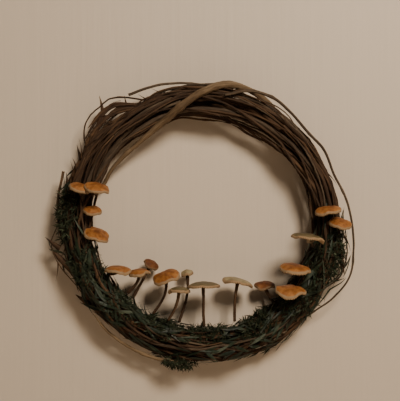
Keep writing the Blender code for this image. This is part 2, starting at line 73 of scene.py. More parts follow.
# ---------------------------------------------------------------- door, floor, camera and light
# The wreath hangs flat on a pale door with a faint upright grain, above a plain pale floor. Both are a
# setting only. They show their front side alone, so that the wreath's back can be looked at.
plain_vines = ["core_vine_4", "core_vine_6", "wrap_vine_1", "wrap_vine_2"]
middles = [(low + high) / 2 for low, high in map(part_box, plain_vines)]
RING_CENTRE = np.array(sum(middles, Vector()) / len(middles))
RING_CENTRE[0] = 0.0

DOOR_SIDE = 3.2
FLOOR_DROP = 0.42  # the floor below the ring's centre
DOOR_PAINT, FLOOR_PAINT = (0.66, 0.56, 0.45), (0.60, 0.52, 0.43)
DOOR_GRAIN = 0.35  # how strongly the door's grain shows
GRAIN_STRETCH = (120, 120, 6)  # streaks to a metre, across the grain twice and along it
SENSOR_WIDTH = 36.0
VIEW_DISTANCE = 0.95  # the camera to the middle of the vine bundle
VIEW_ASIDE, VIEW_ABOVE = -0.0020, 0.0225  # the camera's axis from the ring's centre
VIEW_WIDTH = 0.400  # what the camera takes in at the bundle
AIR_COLOUR, AIR_STRENGTH = (1.0, 0.90, 0.78, 1), 0.030


def feed(tree, node, sockets):
    """Gives each of these sockets of a node its value, or the output that it reads."""
    for socket, value in sockets.items():
        if isinstance(value, bpy.types.NodeSocket):
            tree.links.new(value, node.inputs[socket])
        else:
            node.inputs[socket].default_value = value


def added(tree, kind, output, sockets, **settings):
    """This output of a new shader node, with its settings made before its sockets are fed."""
    node = tree.nodes.new(f"ShaderNode{kind}")
    for setting, value in settings.items():
        setattr(node, setting, value)
    feed(tree, node, sockets)
    return node.outputs[output]


def new_material(name):
    """(a material, its node tree, the main shader in it)."""
    made = bpy.data.materials.new(name)
    made.use_nodes = True
    return made, made.node_tree, made.node_tree.nodes["Principled BSDF"]


def stage_material(name, colour, grain):
    """A pale painted surface, seen from its front side only, with an upright grain if grain isn't 0."""
    made, tree, paint = new_material(name)
    place = added(tree, "TexCoord", "Object", {})
    stretched = added(tree, "Mapping", "Vector", {"Vector": place, "Scale": GRAIN_STRETCH})
    streaks = added(tree, "TexNoise", "Fac", {"Vector": stretched, "Scale": 1.0, "Detail": 4.0})
    bump = added(tree, "Bump", "Normal", {"Height": streaks, "Strength": grain, "Distance": 0.001})
    feed(tree, paint, {"Base Color": (*colour, 1), "Roughness": 0.55, "Normal": bump})
    from_behind = added(tree, "NewGeometry", "Backfacing", {})
    clear = added(tree, "BsdfTransparent", "BSDF", {})
    sides = {"Fac": from_behind, 1: paint.outputs["BSDF"], 2: clear}
    either = added(tree, "MixShader", "Shader", sides)
    feed(tree, tree.nodes["Material Output"], {"Surface": either})
    return made


def stage_plane(name, centre, turn, colour, grain):
    """A large square of the setting, with its front side along its own +Z."""
    bpy.ops.mesh.primitive_plane_add(size=DOOR_SIDE, location=centre, rotation=turn)
    made = bpy.context.object
    made.name = name
    bpy.ops.object.transform_apply(location=True, rotation=True, scale=True)
    made.data.materials.append(stage_material(name, colour, grain))
    made.visible_shadow = False


UPRIGHT = (math.pi / 2, 0, 0)
floor_height = RING_CENTRE[2] - FLOOR_DROP
stage_plane("door", (0, 0, floor_height + DOOR_SIDE / 2), UPRIGHT, DOOR_PAINT, DOOR_GRAIN)
stage_plane("floor", (0, -DOOR_SIDE / 2, floor_height), (0, 0, 0), FLOOR_PAINT, 0.0)

camera_data = bpy.data.cameras.new("front_view")
camera_data.sensor_width = SENSOR_WIDTH
camera_data.lens = SENSOR_WIDTH * VIEW_DISTANCE / VIEW_WIDTH
camera_data.clip_start = 0.01
camera = bpy.data.objects.new("front_view", camera_data)
camera.location = RING_CENTRE + np.array([VIEW_ASIDE, -VIEW_DISTANCE, VIEW_ABOVE])
camera.rotation_euler = UPRIGHT
bpy.context.scene.collection.objects.link(camera)
bpy.context.scene.camera = camera


def soft_light(name, towards, distance, size, watts, colour):
    """A square lamp that stands off from the ring's centre in this direction and faces it."""
    data = bpy.data.lights.new(name, "AREA")
    data.size = size
    data.energy = watts
    data.color = colour
    made = bpy.data.objects.new(name, data)
    away = Vector(towards).normalized()
    made.location = Vector(RING_CENTRE) + distance * away
    made.rotation_euler = away.to_track_quat("Z", "Y").to_euler()
    bpy.context.scene.collection.objects.link(made)


soft_light("room_lamp", (0.40, -1.0, 0.66), 1.6, 0.38, 25.5, (1.0, 0.865, 0.70))
soft_light("room_fill", (-0.5, -1.0, 0.1), 2.6, 2.2, 0.7, (1.0, 0.86, 0.68))
soft_light("back_fill", (0.3, 1.0, 0.5), 2.0, 1.5, 5, (1.0, 0.93, 0.85))
world = bpy.data.worlds.new("room")
world.use_nodes = True
background = world.node_tree.nodes["Background"]
feed(world.node_tree, background, {"Color": AIR_COLOUR, "Strength": AIR_STRENGTH})
bpy.context.scene.world = world


# ---------------------------------------------------------------- vines
# Grapevine canes, cut green, wound into a ring by hand and left to dry. The bark shrinks into long
# fibrous ridges, with a swollen knot where each leaf stood. One paler cane binds the top of the bundle.
BARK_STEP = 0.0022  # along a vine, between its cross-sections
BARK_SIDES = 16
KNOT_SPACING = (0.032, 0.075)
KNOT_LENGTH = 0.0028
KNOT_SWELL = 0.30  # share of the vine's radius
RIDGE_DEPTH = 0.11  # share of the vine's radius
RIDGES = ((3, 0.45), (5, 0.6), (7, 0.5))  # ridges round the vine, and how strong they are
ROUGHNESS = 0.35  # of the bark between its ridges
SWAY = 0.00035  # how far a vine wanders from its smooth line
POINT_LENGTH, POINT_SHARE = 0.014, 0.12  # a tapering end's length, and what is left of its radius
RAGGED = 0.25  # how uneven a cut end is, as a share of the vine's radius
MERGED_WITHIN = 0.00002


def merged_copy(node):
    """A bmesh of a CAD node with its loose triangles joined."""
    mesh = bmesh.new()
    mesh.from_mesh(frame["nodes"][node].data)
    bmesh.ops.remove_doubles(mesh, verts=mesh.verts, dist=MERGED_WITHIN)
    mesh.verts.ensure_lookup_table()
    return mesh


def reach_from(mesh, starts, by_length):
    """Each vertex's distance from the nearest of these along edges: by their length, or their number."""
    reach = {v: 0 for v in starts}
    waiting = [(0, v.index) for v in starts]
    while waiting:
        so_far, index = heapq.heappop(waiting)
        v = mesh.verts[index]
        if so_far > reach[v]:
            continue
        for link in v.link_edges:
            w = link.other_vert(v)
            onward = so_far + (link.calc_length() if by_length else 1)
            if onward < reach.get(w, math.inf):
                reach[w] = onward
                heapq.heappush(waiting, (onward, w.index))
    return reach


def tube_stations(node, widest):
    """(middles, radii) of a CAD tube's cross-sections, from its thick end to its thin one."""
    mesh = merged_copy(node)
    reach = reach_from(mesh, [mesh.verts[0]], True)
    tip = max(reach, key=reach.get)
    last = reach[tip] - 2 * widest
    near = [v for v in mesh.verts if (v.co - tip.co).length < widest and reach[v] > last]
    hops = reach_from(mesh, near, False)
    rings = [[] for _ in range(max(hops.values()) + 1)]
    for v, n in hops.items():
        rings[n].append(v.co)
    middles = np.array([sum(ring, Vector()) / len(ring) for ring in rings])
    radii = np.array([max((co - Vector(m)).length for co in ring) for ring, m in zip(rings, middles)])
    mesh.free()
    if radii[:3].mean() < radii[-3:].mean():
        middles, radii = middles[::-1], radii[::-1]
    return middles, radii


def lengths_along(line):
    """How far along the line each of its points is."""
    return np.concatenate([[0], np.cumsum(np.linalg.norm(np.diff(line, axis=0), axis=1))])


def smooth_line(points, values, step):
    """Points and values evenly spaced along a smooth curve through these points."""
    padded = np.concatenate([[2 * points[0] - points[1]], points, [2 * points[-1] - points[-2]]])
    fine, fine_values = [], []
    for k in range(len(points) - 1):
        a, b, c, d = padded[k : k + 4]
        bend, twist = 2 * a - 5 * b + 4 * c - d, 3 * b - a - 3 * c + d
        count = max(2, math.ceil(np.linalg.norm(c - b) / step))
        for t in np.arange(count) / count:
            fine.append(0.5 * (2 * b + (c - a) * t + bend * t**2 + twist * t**3))
            fine_values.append((1 - t) * values[k] + t * values[k + 1])
    fine.append(points[-1])
    fine_values.append(values[-1])
    return np.array(fine), np.array(fine_values)


def drift(rng, along, shortest, longest, waves=4):
    """A smooth wandering value of about -1 to 1 along a length."""
    out = np.zeros_like(along)
    for _ in range(waves):
        height = rng.uniform(0.4, 1)
        out += height * np.sin(2 * math.pi * (along / rng.uniform(shortest, longest) + rng.uniform()))
    return out / (0.7 * waves)


def across_frames(line):
    """The line's own direction and two across it at each point, that turn as little as they can."""
    ahead = np.gradient(line, axis=0)
    ahead /= np.linalg.norm(ahead, axis=1)[:, None]
    first = np.cross(ahead[0], [0.31, 0.95, 0.13])
    sideways = [first / np.linalg.norm(first)]
    for a in ahead[1:]:
        kept = sideways[-1] - a * (sideways[-1] @ a)
        sideways.append(kept / np.linalg.norm(kept))
    sideways = np.array(sideways)
    return ahead, sideways, np.cross(ahead, sideways)


def mesh_object(name, points, faces, attribute, places):
    """A new mesh object. Each point's place on its surface is kept as this attribute."""
    mesh = bpy.data.meshes.new(name)
    mesh.from_pydata(np.asarray(points).tolist(), [], faces)
    kept = mesh.attributes.new(attribute, "FLOAT_VECTOR", "POINT")
    kept.data.foreach_set("vector", np.asarray(places, np.float32).ravel())
    made = bpy.data.objects.new(name, mesh)
    bpy.context.scene.collection.objects.link(made)
    return made


def smoothed(piece):
    """The piece with its faces shaded smooth."""
    faces = piece.data.polygons
    faces.foreach_set("use_smooth", np.ones(len(faces), bool))
    return piece


def tube_object(name, rings, inner_ends, place):
    """A closed tube through these rings of points, with its place on the bark kept as an attribute."""
    count, sides = rings.shape[:2]
    corners = np.arange(count * sides).reshape(count, sides)
    turned = np.roll(corners, -1, axis=1)
    quads = np.stack([corners[:-1], turned[:-1], turned[1:], corners[1:]], axis=-1).reshape(-1, 4)
    start, finish = count * sides, count * sides + 1
    ends = [(start, int(b), int(a)) for a, b in zip(corners[0], turned[0])]
    ends += [(finish, int(a), int(b)) for a, b in zip(corners[-1], turned[-1])]
    points = np.concatenate([rings.reshape(-1, 3), inner_ends])
    end_places = [[0, 0, place[0, 0, 2]], [0, 0, place[-1, 0, 2]]]
    places = np.concatenate([place.reshape(-1, 3), end_places])
    return smoothed(mesh_object(name, points, quads.tolist() + ends, "bark_place", places))


def barked_vine(name, middles, radii, rng, sides=BARK_SIDES, step=BARK_STEP, points=(False, False)):
    """A vine with ridged bark and knots along these stations; points says which ends taper off."""
    line, radius = smooth_line(middles, radii, step)
    along = lengths_along(line)
    ahead, side, up = across_frames(line)
    sideways, upwards = (drift(rng, along, 0.02, 0.07)[:, None] for _ in range(2))
    line = line + SWAY * (sideways * side + upwards * up)
    around = np.arange(sides) * 2 * math.pi / sides
    twist = 1.2 * drift(rng, along, 0.15, 0.5) + along * rng.uniform(-9, 9)
    swell = 1 + 0.07 * drift(rng, along, 0.02, 0.09)
    relief = np.zeros((len(line), sides))
    for ridges, share in RIDGES:
        wander = 2.5 * drift(rng, along, 0.03, 0.12)[:, None]
        turn = ridges * (around[None, :] + twist[:, None]) + wander
        relief += share * np.abs(np.sin(turn / 2)) - share / 2
    relief += ROUGHNESS * rng.standard_normal(relief.shape)
    knot = rng.uniform(*KNOT_SPACING)
    bump = np.zeros_like(relief)
    while knot < along[-1]:
        lean = 0.5 + 0.5 * np.cos(around - rng.uniform(0, 2 * math.pi))
        near = np.exp(-(((along - knot) / (KNOT_LENGTH * rng.uniform(0.7, 1.3))) ** 2))
        bump += KNOT_SWELL * near[:, None] * (0.35 + 0.9 * lean[None, :])
        knot += rng.uniform(*KNOT_SPACING)
    for from_end, tapers in zip((along, along[-1] - along), points):
        if tapers:
            radius = radius * np.clip(POINT_SHARE + from_end / POINT_LENGTH, 0, 1)
    reach = radius[:, None] * (swell[:, None] * (0.95 + RIDGE_DEPTH * relief) + bump)
    spoke = np.cos(around)[:, None] * side[:, None, :] + np.sin(around)[:, None] * up[:, None, :]
    rings = line[:, None, :] + reach[:, :, None] * spoke
    ragged = RAGGED * radius[[0, -1]][:, None] * rng.uniform(-1, 1, (2, sides))
    rings[0] -= ragged[0][:, None] * ahead[0]
    rings[-1] += ragged[1][:, None] * ahead[-1]
    inner_ends = [line[0] + 0.1 * radius[0] * ahead[0], line[-1] - 0.1 * radius[-1] * ahead[-1]]
    place = np.zeros((len(line), sides, 3))
    place[:, :, 0], place[:, :, 1] = np.cos(around), np.sin(around)
    place[:, :, 2] = along[:, None] + rng.uniform(0, 9)
    return tube_object(name, rings, inner_ends, place)


def colour_ramp(tree, factor, *stops):
    """The colour at this factor between these (position, colour) stops, the lowest first."""
    ramp = tree.nodes.new("ShaderNodeValToRGB")
    feed(tree, ramp, {"Fac": factor})
    elements = ramp.color_ramp.elements
    elements[0].position, elements[1].position = stops[0][0], stops[-1][0]
    for position, _ in stops[1:-1]:
        elements.new(position)
    for element, (_, colour) in zip(elements, stops):
        element.color = (*colour, 1)
    return ramp.outputs["Color"]


def bark_material(name, dark, mid, light):
    """Dry bark: fibres along the vine, darker in the bump's furrows as painted shade and paler on its
    ridges, partly worn and partly a painted highlight.
    """
    made, tree, shader = new_material(name)
    place = added(tree, "Attribute", "Vector", {}, attribute_name="bark_place")
    stretched = added(tree, "Mapping", "Vector", {"Vector": place, "Scale": (2.2, 2.2, 70.0)})
    grain = {"Vector": stretched, "Scale": 1.6, "Detail": 6.0, "Roughness": 0.65}
    fibres = added(tree, "TexNoise", "Fac", grain)
    patches = added(tree, "Mapping", "Vector", {"Vector": place, "Scale": (0.5, 0.5, 28.0)})
    blotches = added(tree, "TexNoise", "Fac", {"Vector": patches, "Scale": 1.0, "Detail": 3.0})
    mixed = {"Factor": 0.45, "A": fibres, "B": blotches}
    both = added(tree, "Mix", "Result", mixed, data_type="FLOAT")
    # The colour follows the bump's fibres: painted shade in their furrows, and ridges that are partly worn
    # and partly painted highlight.
    colours = colour_ramp(tree, both, (0.34, dark), (0.50, mid), (0.68, light))
    rough = added(tree, "MapRange", "Result", {"Value": fibres, "To Min": 0.62, "To Max": 0.92})
    bump = added(tree, "Bump", "Normal", {"Height": fibres, "Strength": 0.7, "Distance": 0.0006})
    feed(tree, shader, {"Base Color": colours, "Roughness": rough, "Normal": bump})
    feed(tree, shader, {"Specular IOR Level": 0.25})
    return made


def dressed(piece, finish, slot, *nodes):
    """Gives a finished piece its material and its body, and hides the CAD nodes that it stands for. The slot
    is not used.
    """
    piece.data.materials.append(finish)
    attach(piece, "root")
    if nodes:
        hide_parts(*nodes)
    return piece


VINE_WIDEST = 0.0075  # more than a vine's thickness, less than the gap between its CAD cross-sections
LINE_STEP = 0.006  # between the points kept of each vine, for what is laid on it later
dark_bark = bark_material("dark_bark", (0.009, 0.005, 0.003), (0.044, 0.023, 0.012), (0.120, 0.070, 0.038))
brown_bark = bark_material("brown_bark", (0.015, 0.007, 0.004), (0.068, 0.034, 0.016), (0.175, 0.102, 0.052))
grey_bark = bark_material("grey_bark", (0.018, 0.011, 0.007), (0.068, 0.045, 0.028), (0.195, 0.142, 0.092))
pale_bark = bark_material("pale_bark", (0.065, 0.040, 0.021), (0.190, 0.127, 0.070), (0.360, 0.262, 0.160))
bound_bark = bark_material("bound_bark", (0.045, 0.026, 0.013), (0.125, 0.080, 0.043), (0.250, 0.178, 0.108))
VINE_BARKS = {
    "core_vine_1": dark_bark,
    "core_vine_2": brown_bark,
    "core_vine_3": brown_bark,
    "core_vine_4": dark_bark,
    "core_vine_5": dark_bark,
    "core_vine_6": grey_bark,
    "wrap_vine_1": brown_bark,
    "wrap_vine_2": grey_bark,
    "binding_vine": bound_bark,
    "long_tendril": grey_bark,
    "loose_vine_left": grey_bark,
    "left_edge_vine": brown_bark,
    "lower_outer_vine": pale_bark,
}
POINTED_VINES = {"long_tendril", "loose_vine_left", "left_edge_vine", "lower_outer_vine"}
SLANT_CUT_VINES = {"core_vine_1", "core_vine_2", "core_vine_3", "core_vine_5"}
# Where along X the binding vine is thicker or thinner, as a share of its radius.
BINDING_X, BINDING_SWELL = (-0.09, -0.055, -0.04, 0.01, 0.05), (0.75, 0.95, 1.35, 1.30, 1.0)
rng = np.random.default_rng(7)
vine_lines = {}
for vine_name, vine_bark in VINE_BARKS.items():
    middles, radii = tube_stations(vine_name, VINE_WIDEST)
    vine_lines[vine_name] = smooth_line(middles, radii, LINE_STEP)
    tapers = (vine_name in SLANT_CUT_VINES, vine_name in POINTED_VINES)
    slot = "bark"
    if vine_name == "binding_vine":
        radii = radii * np.interp(middles[:, 0], BINDING_X, BINDING_SWELL)
        slot = "pale_bark"
    vine = barked_vine(f"barked_{vine_name}", middles, radii, rng, points=tapers)
    dressed(vine, vine_bark, slot, vine_name)


# ---------------------------------------------------------------- thin canes and side shoots
# Thin canes, tendrils and side shoots of the same vines. They are tucked in last, round and across the
# bundle, and their ends spring loose, most at the ring's outside and along its top.
SKIN_STEP, SKIN_TURNS = 3, 36  # degrees of the ring, and places round the bundle, in the skin's table
NEVER_THINNER = 0.011  # the bundle's least reach from its own middle
BUNDLE_REACH = 0.019  # about how far the bundle reaches from the ring's middle circle


def ring_place(points):
    """(angle round the ring in degrees, u, w) of these points: u outwards, w away from the door."""
    off = np.asarray(points) - RING_CENTRE
    angle = np.degrees(np.arctan2(off[..., 2], off[..., 0])) % 360
    return angle, np.hypot(off[..., 0], off[..., 2]) - RING_RADIUS, -off[..., 1]


def ring_point(angle, u, w):
    """The point at this place of the ring."""
    a = np.radians(angle)
    reach = RING_RADIUS + np.asarray(u)
    off = np.stack([reach * np.cos(a), -np.asarray(w) + 0 * a, reach * np.sin(a)], axis=-1)
    return RING_CENTRE + off


def smoothed_round(values, reach):
    """The mean of each value of a closed row and this many on each side of it."""
    return np.mean([np.roll(values, n, axis=0) for n in range(-reach, reach + 1)], axis=0)


wound = [name for name in VINE_BARKS if name.startswith(("core", "wrap"))]
bundle_points = np.concatenate([vine_lines[name][0] for name in wound])
bundle_radii = np.concatenate([vine_lines[name][1] for name in wound])
RING_RADIUS = np.hypot(*(bundle_points - RING_CENTRE)[:, [0, 2]].T).mean()
angle, u, w = ring_place(bundle_points)
RING_CENTRE[1] -= w.mean()
cells = (angle // SKIN_STEP).astype(int)
rows = 360 // SKIN_STEP
near_cells = [np.abs((cells - row + rows / 2) % rows - rows / 2) <= 1 for row in range(rows)]
low_edge = np.array([np.min((u - bundle_radii)[near]) for near in near_cells])
high_edge = np.array([np.max((u + bundle_radii)[near & (u < BUNDLE_REACH)]) for near in near_cells])
bundle_middle = smoothed_round((low_edge + high_edge) / 2, 3)
skin = np.full((rows, SKIN_TURNS), NEVER_THINNER)


def skin_row(angle):
    """The skin table's row at each of these angles round the ring."""
    return (angle / SKIN_STEP).astype(int) % rows


def cover(points, radii):
    """Raises the skin's table to what lies at these points."""
    angle, u, w = ring_place(points)
    row = skin_row(angle)
    across = u - bundle_middle[row]
    out = np.hypot(across, w)
    turn = np.arctan2(w, across)
    for column in range(SKIN_TURNS):
        off = (2 * math.pi * column / SKIN_TURNS - turn + math.pi) % (2 * math.pi) - math.pi
        aside = out * np.sin(off)
        meets = (np.abs(aside) < radii) & (np.abs(off) < 1.5)
        height = out * np.cos(off) + np.sqrt(np.maximum(radii**2 - aside**2, 0))
        for shift in (-1, 0, 1):
            lower = 0.0002 * abs(shift)
            np.maximum.at(skin[:, column], (row[meets] + shift) % rows, height[meets] - lower)


def skin_height(angle, turn, ground=skin):
    """How far the skin is from the bundle's middle, at angles round the ring and round the bundle."""
    a, b = (angle / SKIN_STEP - 0.5) % rows, (turn * SKIN_TURNS / 360) % SKIN_TURNS
    a0, b0 = a.astype(int), b.astype(int)
    fa, fb = a - a0, b - b0
    a0, a1, b0, b1 = a0 % rows, (a0 + 1) % rows, b0 % SKIN_TURNS, (b0 + 1) % SKIN_TURNS
    before = ground[a0, b0] * (1 - fb) + ground[a0, b1] * fb
    after = ground[a1, b0] * (1 - fb) + ground[a1, b1] * fb
    return before * (1 - fa) + after * fa


def on_skin(angle, turn, lift, ground=skin):
    """The points at these places on the bundle, this far out of its skin."""
    out = skin_height(angle, turn, ground) + lift
    a = np.radians(turn)
    return ring_point(angle, bundle_middle[skin_row(angle)] + out * np.cos(a), out * np.sin(a))


def rested(heights, reach):
    """A stiff cane's heights over bumpy ground: it bridges the hollows within this many points."""
    for pick in (np.max, np.mean):
        padded = np.pad(heights, reach, mode="edge")
        heights = pick([padded[n : n + len(heights)] for n in range(2 * reach + 1)], axis=0)
    return heights


for name in wound:
    cover(*vine_lines[name])
vine_skin = skin.copy()
PILED = (0.0016, -0.0030)  # how far thin canes stand out of the vines at the front, and at the outside
CANE_STEP = 1.2  # degrees of the ring between a thin cane's points
CANE_WANDER = 9  # degrees round the bundle
CANE_REST = 4  # points to each side over which a thin cane is too stiff to bend
LOOSE_SHARE = 0.22  # of a thin cane's length, at each end, that springs loose


def runner(start, span, turn, spiral, thickness, rng, lift=0.0, loose=(0.0, 0.0)):
    """(points, radii) of a thin cane laid over the skin; loose is how far each end stands off."""
    count = max(8, int(abs(span) / CANE_STEP))
    t = np.linspace(0, 1, count)
    angle = (start + span * t) % 360
    along = t * abs(np.radians(span)) * RING_RADIUS
    turns = turn + spiral * span * t / 100 + CANE_WANDER * drift(rng, along, 0.05, 0.15)
    piled = np.interp(np.cos(np.radians(turns)), [0.0, 0.9], PILED)
    laid = rested(skin_height(angle, turns), CANE_REST)
    out = np.minimum(laid, rested(skin_height(angle, turns, vine_skin), CANE_REST) + piled)
    near_start = np.clip(1 - t / LOOSE_SHARE, 0, 1) ** 2
    near_finish = np.clip((t - 1 + LOOSE_SHARE) / LOOSE_SHARE, 0, 1) ** 2
    out = out + thickness + (loose[0] * near_start + loose[1] * near_finish)
    out = out + lift * (0.5 + 0.5 * drift(rng, along, 0.04, 0.12))
    radii = thickness * np.interp(t, [0, 1], [1.1, 0.65])
    middle = smoothed_round(bundle_middle, 2)[skin_row(angle)]
    a = np.radians(turns)
    return ring_point(angle, middle + out * np.cos(a), out * np.sin(a)), radii


def thin_cane(name, points, radii, rng, bark):
    """Makes and dresses one thin cane along these points."""
    dressed(barked_vine(name, points, radii, rng, 8, 0.003, (True, True)), bark, "bark")


# Canes wound at random. One that starts at the ring's outside or inside crosses over the front.
rng = np.random.default_rng(23)
RUNNERS = 46
RUNNER_BARKS = (dark_bark, brown_bark, dark_bark, grey_bark, dark_bark, brown_bark, dark_bark, dark_bark)
for n in range(RUNNERS):
    start = (360 / RUNNERS * n * 7 + rng.uniform(-6, 6)) % 360
    span = rng.uniform(70, 170) * rng.choice((-1, 1))
    turn = rng.choice((rng.uniform(-20, 60), rng.uniform(50, 130), rng.uniform(110, 195)))
    spiral = rng.uniform(35, 95) * rng.choice((-1, 1))
    if turn > 120:
        spiral = -abs(spiral) * np.sign(span)
    elif turn < 50:
        spiral = abs(spiral) * np.sign(span)
    thickness = rng.choice((0.0006, 0.0008, 0.0010, 0.0013)) * rng.uniform(0.9, 1.15)
    loose = (rng.uniform(0, 0.003), rng.uniform(0, 0.005))
    points, radii = runner(start, span, turn, spiral, thickness, rng, rng.uniform(0, 0.0015), loose)
    cover(points, radii)
    thin_cane(f"thin_cane_{n + 1}", points, radii, rng, RUNNER_BARKS[n % 8])

# Short stout canes that fill the ring's outside from its top round to its left.
FILLERS = 26
FILLER_SINK = -0.0030
for n in range(FILLERS):
    span = rng.uniform(38, 75) * rng.choice((-1, 1))
    start = rng.uniform(98, 158) - span / 2
    turn = rng.uniform(5, 75)
    thickness = rng.uniform(0.0010, 0.0017)
    loose = (rng.uniform(0, 0.0015), rng.uniform(0, 0.0030))
    points, radii = runner(start, span, turn, rng.uniform(-25, 25), thickness, rng, FILLER_SINK, loose)
    cover(points, radii)
    thin_cane(f"filling_cane_{n + 1}", points, radii, rng, (dark_bark, brown_bark)[n % 3 == 2])

# Thin canes that stand free over the top, with the door showing between them. Their ends dip into the
# bundle over this many points, by this much.
TOP_CANES = 9
DIP_POINTS, DIP_DEPTH = 9, 0.006
for n in range(TOP_CANES):
    span = rng.uniform(45, 85) * (-1, 1)[n % 2]
    start = rng.uniform(72, 118) - span / 2
    turn, lift = rng.uniform(-5, 45), rng.uniform(0.003, 0.010)
    thickness = rng.uniform(0.0006, 0.0011)
    points, radii = runner(start, span, turn, rng.uniform(-20, 20), thickness, rng, lift, (0.0, 0.001))
    from_ends = np.minimum(np.arange(len(points)), np.arange(len(points))[::-1])
    dip = (1 - np.clip(from_ends / DIP_POINTS, 0, 1)[:, None]) ** 2
    inwards = RING_CENTRE - points
    points = points + DIP_DEPTH * dip * inwards / np.linalg.norm(inwards, axis=1, keepdims=True)
    thin_cane(f"top_cane_{n + 1}", points, radii, rng, (brown_bark, dark_bark, grey_bark)[n % 3])

SHOOT_SIDES, SHOOT_STEP, SHOOT_POINTS = 6, 0.004, 6
SHOOT_ROOT = -0.0015  # a shoot starts this far inside the skin
# Cut side shoots, each where one shows: angle round the ring, turn round the bundle, length, how it leans
# along the ring and outwards, and radius.
STUBS = [
    (124, 8, 0.014, -0.5, 1.1, 0.0027),
    (134, 5, 0.016, -0.9, 0.8, 0.0028),
    (129, 20, 0.012, 1.0, 0.7, 0.0020),
    (142, 12, 0.012, -1.0, 0.5, 0.0020),
    (152, 8, 0.013, -0.8, 0.9, 0.0025),
    (158, 25, 0.012, -1.0, 0.5, 0.0020),
    (165, 2, 0.014, -1.0, 0.45, 0.0026),
    (173, 10, 0.012, -0.9, 0.6, 0.0022),
    (190, 15, 0.017, -0.8, 0.9, 0.0034),
    (205, 5, 0.012, 0.9, 0.5, 0.0018),
    (112, 15, 0.012, 0.9, 0.6, 0.0016),
    (86, 12, 0.010, -0.9, 0.5, 0.0014),
]
SHOOTS = 76  # the cut ones, and thin ones at random, most of them at the ring's upper left
for n in range(SHOOTS):
    crowded = n % 3 != 0
    angle = rng.uniform(95, 205) if crowded else rng.uniform(0, 360)
    turn = rng.uniform(-25, 75) if crowded else rng.uniform(-40, 200)
    length = rng.uniform(0.008, 0.020)
    along = rng.choice((-1, 1, 1))
    lean = rng.uniform(0.15, 0.55)
    stout = rng.uniform(0.0006, 0.0010)
    ground, tip_share = skin, 0.25
    if n < len(STUBS):
        angle, turn, length, along, lean, stout = STUBS[n]
        ground, tip_share = vine_skin, 0.45
    base = on_skin(np.array([angle]), np.array([turn]), SHOOT_ROOT, ground)[0]
    ahead = ring_point(angle + 2, *ring_place(base)[1:]) - base
    ahead *= along / np.linalg.norm(ahead)
    out = on_skin(np.array([angle]), np.array([turn]), 0.01)[0] - base
    out /= np.linalg.norm(out)
    t = np.linspace(0, 1, SHOOT_POINTS)[:, None]
    curl = rng.uniform(-0.4, 0.5)
    points = base + length * (t * (ahead + lean * out) + curl * t**2 * out)
    radii = stout * np.linspace(1, tip_share, SHOOT_POINTS)
    shoot = barked_vine(f"side_shoot_{n + 1}", points, radii, rng, SHOOT_SIDES, SHOOT_STEP, (False, True))
    dressed(shoot, (dark_bark, brown_bark)[n % 2], "bark")


# ---------------------------------------------------------------- moss and leaf blades
# Clumps of dark moss and long narrow leaves, laid on the vines round the lower half of the ring and
# glued. Both are dried and dyed: dull green, browner at the tips, with some leaves a pale grey-green that is
# painted sheen.
LEAF_LEVELS = [(0.0, 0.18), (0.12, 0.62), (0.38, 1.0), (0.66, 0.80), (0.88, 0.36)]  # height, width
MOSS_LENGTH, MOSS_WIDTH, MOSS_THICK = (0.0035, 0.0085), (0.00035, 0.00075), 0.00016
SHORT_MOSS = {"moss_bottom_outer": (0.0025, 0.0050)}  # the lengths where a pad's moss is shorter
MOSS_TUFTS = 620  # on one pad
MOSS_ROOTS = (0.0025, 0.0060)  # how far inside its pad a tuft starts
BARE_BELOW = -0.75  # what the patchiness of the moss must be more than, for a tuft to stand there
BLADE_LENGTH, BLADE_WIDTH, BLADE_THICK = (0.014, 0.034), (0.0010, 0.0021), 0.00022


def finished_shape():
    """(points, faces) of the shape in edit mode, closed at the point where its last edges meet."""
    bpy.ops.mesh.merge(type="CENTER")
    bpy.ops.mesh.select_all(action="SELECT")
    bpy.ops.mesh.remove_doubles(threshold=0.0001)
    bpy.ops.mesh.normals_make_consistent(inside=False)
    bpy.ops.object.mode_set(mode="OBJECT")
    shape = bpy.context.object
    points = np.array([v.co for v in shape.data.vertices])
    faces = [tuple(p.vertices) for p in shape.data.polygons]
    bpy.data.objects.remove(shape)
    return points, faces


def leaf_shape():
    """(points, faces) of one leaf: 1 long in Z, 1 each way in X and in Y, closed at both ends."""
    bpy.ops.object.select_all(action="DESELECT")
    bpy.ops.mesh.primitive_circle_add(vertices=4, radius=LEAF_LEVELS[0][1], fill_type="NGON")
    bpy.ops.object.mode_set(mode="EDIT")
    bpy.ops.mesh.select_all(action="SELECT")
    for (height, width), (next_height, next_width) in zip(LEAF_LEVELS, LEAF_LEVELS[1:]):
        bpy.ops.mesh.extrude_region_move(TRANSFORM_OT_translate={"value": (0, 0, next_height - height)})
        bpy.ops.transform.resize(value=(next_width / width, next_width / width, 1))
    bpy.ops.mesh.extrude_region_move(TRANSFORM_OT_translate={"value": (0, 0, 1 - LEAF_LEVELS[-1][0])})
    return finished_shape()


leaf_points, leaf_faces = leaf_shape()
leaf_heights, leaf_level = np.unique(np.round(leaf_points[:, 2], 4), return_inverse=True)
LEVELS = len(leaf_heights)


def unit(vectors):
    """These vectors, each brought to length 1."""
    return vectors / np.linalg.norm(vectors, axis=-1, keepdims=True)


def leaf_cluster(name, spines, sides, faces_up, widths, thick, tones):
    """One object of many leaves. A spine is its points at the leaf's levels; sides and faces_up are its
    directions there; tones are from 0, dark, to 1, pale."""
    count, size = len(spines), len(leaf_points)
    x, y = leaf_points[:, 0], leaf_points[:, 1]
    points = spines[:, leaf_level] + widths[:, None, None] * x[None, :, None] * sides[:, leaf_level]
    points += thick * y[None, :, None] * faces_up[:, leaf_level]
    faces = [[n * size + corner for corner in face] for n in range(count) for face in leaf_faces]
    place = np.zeros((count, size, 3))
    place[:, :, 0], place[:, :, 1], place[:, :, 2] = np.abs(x), leaf_points[:, 2], tones[:, None]
    return mesh_object(name, points.reshape(-1, 3), faces, "leaf_place", place)


